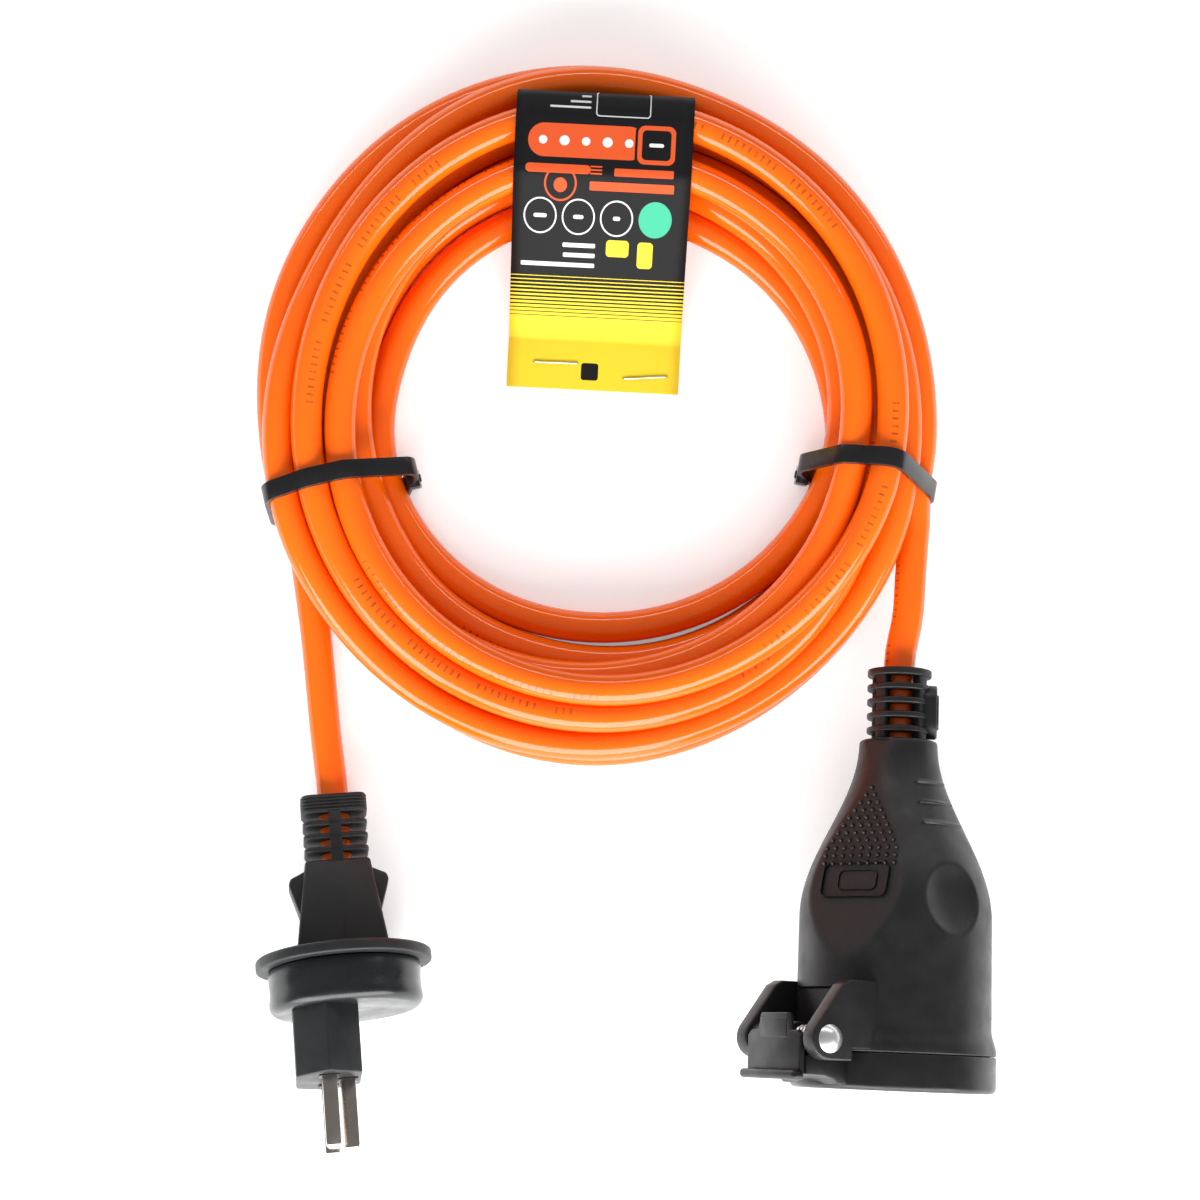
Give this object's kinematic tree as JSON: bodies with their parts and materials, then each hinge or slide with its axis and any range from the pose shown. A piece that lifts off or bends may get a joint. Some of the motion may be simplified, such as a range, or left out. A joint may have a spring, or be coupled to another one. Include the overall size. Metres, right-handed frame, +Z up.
{
  "type": "coiled extension cord",
  "caption": "Rubber-sheathed extension cord wound into a ring and held by cable ties, with an earthed plug and a coupler under a sprung hinged lid, and a stapled label card.",
  "frame": {"origin": "bottom centre of the whole object's box, on the surface that it lies on", "axes": "+Z up from the surface; +Y from the plug and the coupler towards the coil; +X from the plug's side to the coupler's side"},
  "size_m": [0.2016, 0.2966, 0.0658],
  "materials": {
    "cord_rubber": "satin orange sheath",
    "tie_nylon": "glossy black nylon",
    "label_card": "printed card, black and yellow",
    "staple_wire": "bright wire",
    "moulded_rubber": "fine-grained matt black",
    "collar_rubber": "smooth satin black",
    "nose_plastic": "grained black thermoplastic",
    "pin_nickel": "nickel plated, dull",
    "core_brown": "core insulation",
    "core_blue": "core insulation",
    "core_green": "core insulation, green with a yellow stripe",
    "contact_brass": "plain brass",
    "gasket_rubber": "smooth black",
    "spring_steel": "stainless wire",
    "rivet_steel": "bright, turned dome"
  },
  "bodies": {
    "root": {"cord_coil": "cord_rubber", "cord_tail_plug": "cord_rubber", "cord_tail_coupler": "cord_rubber", "cable_tie_left": "tie_nylon", "cable_tie_right": "tie_nylon", "label_card": "label_card", "label_staples": "staple_wire", "plug_grip": "moulded_rubber", "plug_collar": "collar_rubber", "plug_nose": "nose_plastic", "plug_pin_line": "pin_nickel", "plug_pin_neutral": "pin_nickel", "plug_pin_earth": "pin_nickel", "plug_core_line": "core_brown", "plug_core_neutral": "core_blue", "plug_core_earth": "core_green", "coupler_housing": "moulded_rubber", "coupler_insert": "nose_plastic", "coupler_contact_line": "contact_brass", "coupler_contact_neutral": "contact_brass", "coupler_contact_earth": "contact_brass", "coupler_core_line": "core_brown", "coupler_core_neutral": "core_blue", "coupler_core_earth": "core_green", "lid_spring": "spring_steel", "hinge_pin": "rivet_steel"},
    "lid": {"lid": "moulded_rubber", "lid_gasket": "gasket_rubber"}
  },
  "joints": [
    {"name": "lid_hinge", "type": "hinge", "parent": "root", "child": "lid", "pos_m": [0.04512, -0.11305, 0.04713], "axis": [-0.4832, -0.1409, -0.8641], "range_deg": [0, 110], "stiffness_Nm_per_rad": 0.02, "springref_deg": -34.38, "deforming": ["lid_spring"]}
  ]
}
